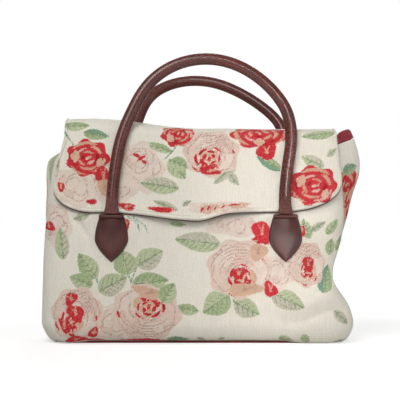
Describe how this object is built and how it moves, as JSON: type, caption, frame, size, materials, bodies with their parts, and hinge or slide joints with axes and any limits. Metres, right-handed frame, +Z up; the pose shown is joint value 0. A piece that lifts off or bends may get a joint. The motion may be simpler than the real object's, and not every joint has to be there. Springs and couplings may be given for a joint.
{
  "type": "handbag",
  "caption": "Flap-over handbag of rose tapestry cloth with rolled leather handles that swing down on spade-shaped tabs, a lined body and a flat base.",
  "frame": {"origin": "middle of the base on the floor, at the underside of the base panel", "axes": "+X to the right seen from the front, the front faces -Y, +Z up"},
  "size_m": [0.3467, 0.1695, 0.3125],
  "materials": {
    "tapestry": "woven jacquard, matte",
    "base_cloth": "matte",
    "lining": "plain weave, slight sheen",
    "leather": "smooth, waxed sheen",
    "board": "matte",
    "core_cord": "matte",
    "snap_metal": "plated, satin"
  },
  "bodies": {
    "bag": {"front_panel": "tapestry", "back_panel": "tapestry", "left_gusset": "tapestry", "right_gusset": "tapestry", "base_panel": "base_cloth", "base_board": "board", "lining": "lining", "flap_cover": "tapestry", "flap_lining": "lining", "snap_socket": "snap_metal", "snap_stud": "snap_metal", "front_left_tab": "leather", "front_right_tab": "leather", "back_left_tab": "leather", "back_right_tab": "leather"},
    "front_handle": {"front_grip": "leather", "front_core": "core_cord"},
    "back_handle": {"back_grip": "leather", "back_core": "core_cord"}
  },
  "joints": [
    {"name": "front_handle_swing", "type": "hinge", "parent": "bag", "child": "front_handle", "pos_m": [0, -0.04018, 0.13578], "axis": [1, 0, 0], "range_deg": [0, 148]},
    {"name": "back_handle_swing", "type": "hinge", "parent": "bag", "child": "back_handle", "pos_m": [0, 0.04018, 0.13578], "axis": [-1, 0, 0], "range_deg": [-32, 116]}
  ]
}
